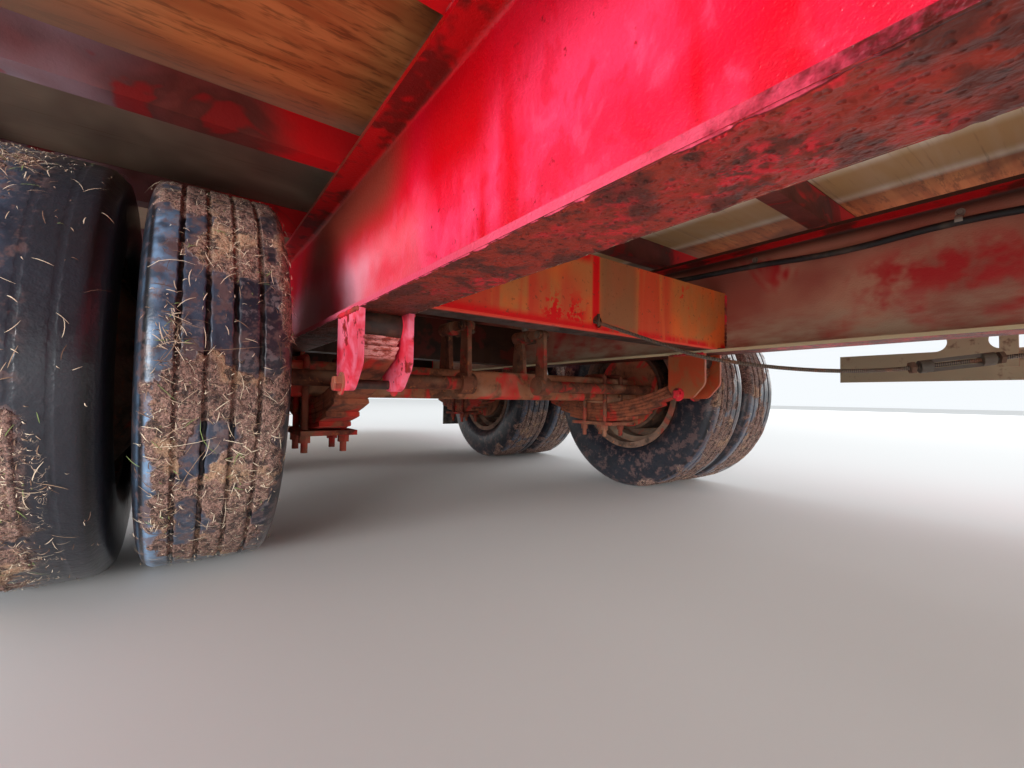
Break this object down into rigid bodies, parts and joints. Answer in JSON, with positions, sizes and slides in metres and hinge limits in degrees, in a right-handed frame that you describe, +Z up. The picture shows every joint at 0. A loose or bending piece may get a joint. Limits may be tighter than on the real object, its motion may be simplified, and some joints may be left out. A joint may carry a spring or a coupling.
{
  "type": "low loader trailer",
  "caption": "Tandem-axle low loader trailer with twin wheels, a plank deck on bearers, a sloping tail with two folding ramps, and a drawbar with a jack.",
  "frame": {"origin": "on the ground, midway between the tip of the towing eye and the rearmost edge, on the centre line", "axes": "+X forward towards the towing eye, +Y the trailer's left side, +Z up"},
  "size_m": [9.6295, 2.44, 2.1845],
  "materials": {
    "red_paint": "weathered bright red gloss paint",
    "under_paint": "dusty dark red paint over rust",
    "rusty_paint": "rusty steel with red overspray",
    "plywood": "stained plywood",
    "tyre_rubber": "worn rubber caked with dried mud",
    "rim_paint": "dusty painted steel",
    "cast_steel": "rusty bare steel",
    "flap_rubber": "dusty black rubber",
    "lamp_plastic": "scuffed red lens",
    "hose_rubber": "dusty black hose",
    "cable_steel": "dull dark wire"
  },
  "bodies": {
    "chassis": {"main_rail_left": "red_paint", "main_rail_right": "red_paint", "cross_members": "red_paint", "headstock": "red_paint", "deck_bearers": "under_paint", "side_rave_left": "red_paint", "side_rave_right": "red_paint", "deck_boards": "plywood", "tail_rail_left": "red_paint", "tail_rail_right": "red_paint", "tail_frame": "under_paint", "tail_boards": "plywood", "drawbar": "red_paint", "towing_eye": "cast_steel", "jack_housing": "rusty_paint", "headboard": "red_paint", "handbrake_lever": "rusty_paint", "spring_hangers": "red_paint", "equalisers": "rusty_paint", "leaf_springs": "rusty_paint", "spring_clamps": "rusty_paint", "axles": "rusty_paint", "brake_gear": "rusty_paint", "handbrake_cable": "cable_steel", "brake_hose": "hose_rubber", "cable_strainer": "cable_steel", "side_guard_left": "under_paint", "side_guard_right": "under_paint", "mudflaps": "flap_rubber", "tail_lamps": "lamp_plastic"},
    "wheels_front_left": {"hub_front_left": "cast_steel", "rims_front_left": "rim_paint", "tyres_front_left": "tyre_rubber"},
    "wheels_front_right": {"hub_front_right": "cast_steel", "rims_front_right": "rim_paint", "tyres_front_right": "tyre_rubber"},
    "wheels_rear_left": {"hub_rear_left": "cast_steel", "rims_rear_left": "rim_paint", "tyres_rear_left": "tyre_rubber"},
    "wheels_rear_right": {"hub_rear_right": "cast_steel", "rims_rear_right": "rim_paint", "tyres_rear_right": "tyre_rubber"},
    "ramp_left": {"ramp_left": "red_paint"},
    "ramp_right": {"ramp_right": "red_paint"},
    "jack_leg": {"jack_leg": "cast_steel"}
  },
  "joints": [
    {"name": "spin_front_left", "type": "hinge", "parent": "chassis", "child": "wheels_front_left", "pos_m": [-1.30722, 0.8995, 0.3985], "axis": [0, 1, 0], "continuous": true},
    {"name": "spin_front_right", "type": "hinge", "parent": "chassis", "child": "wheels_front_right", "pos_m": [-1.30722, -0.8995, 0.3985], "axis": [0, 1, 0], "continuous": true},
    {"name": "spin_rear_left", "type": "hinge", "parent": "chassis", "child": "wheels_rear_left", "pos_m": [-2.40022, 0.8995, 0.3985], "axis": [0, 1, 0], "continuous": true},
    {"name": "spin_rear_right", "type": "hinge", "parent": "chassis", "child": "wheels_rear_right", "pos_m": [-2.40022, -0.8995, 0.3985], "axis": [0, 1, 0], "continuous": true},
    {"name": "ramp_hinge_left", "type": "hinge", "parent": "chassis", "child": "ramp_left", "pos_m": [-4.76722, 0.64, 0.55005], "axis": [0, -1, 0], "range_deg": [0, 114.32]},
    {"name": "ramp_hinge_right", "type": "hinge", "parent": "chassis", "child": "ramp_right", "pos_m": [-4.76722, -0.64, 0.55005], "axis": [0, -1, 0], "range_deg": [0, 114.32]},
    {"name": "jack_slide", "type": "slide", "parent": "chassis", "child": "jack_leg", "axis": [0, 0, 1], "range_m": [0, 0.3]}
  ]
}
